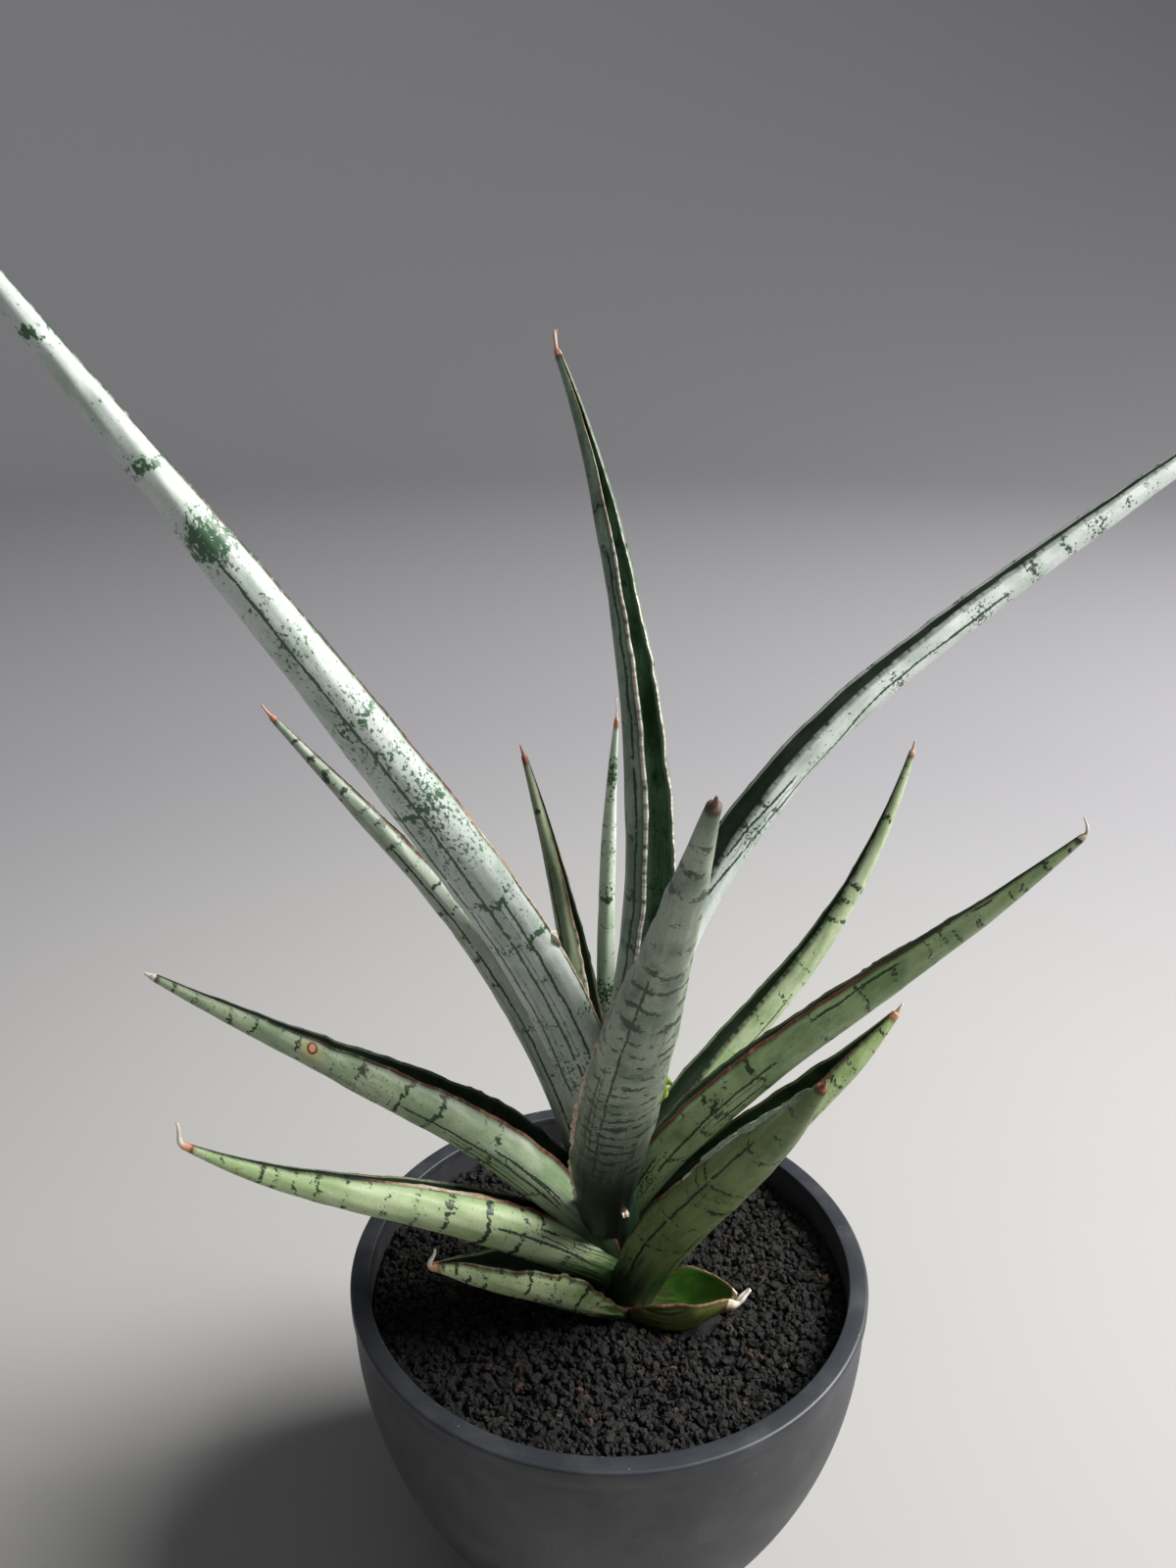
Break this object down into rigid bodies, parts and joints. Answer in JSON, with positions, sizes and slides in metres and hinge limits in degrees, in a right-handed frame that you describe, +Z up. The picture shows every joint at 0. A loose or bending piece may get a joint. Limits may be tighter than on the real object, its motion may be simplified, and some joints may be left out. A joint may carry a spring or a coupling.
{
  "type": "potted snake plant",
  "caption": "Potted snake plant with long stiff channelled leaves, mottled silver and green, rising from one crown in dark grit in a round charcoal bowl.",
  "frame": {"origin": "the middle of the bowl's flat base", "axes": "+Z up, +X to the right and +Y away from the viewer in the picture's view"},
  "size_m": [0.3121, 0.1767, 0.351],
  "materials": {
    "pot": "matte",
    "soil": "matte",
    "stem": "matte",
    "silver_leaf": "satin",
    "green_leaf": "satin"
  },
  "bodies": {
    "root": {"pot": "pot", "soil": "soil", "stem": "stem", "leaf_01": "silver_leaf", "leaf_02": "green_leaf", "leaf_03": "silver_leaf", "leaf_04": "silver_leaf", "leaf_05": "silver_leaf", "leaf_06": "silver_leaf", "leaf_07": "green_leaf", "leaf_08": "green_leaf", "leaf_09": "green_leaf", "leaf_10": "green_leaf", "leaf_11": "green_leaf", "leaf_12": "green_leaf", "leaf_13": "green_leaf", "leaf_14": "green_leaf", "leaf_15": "green_leaf"}
  },
  "joints": []
}
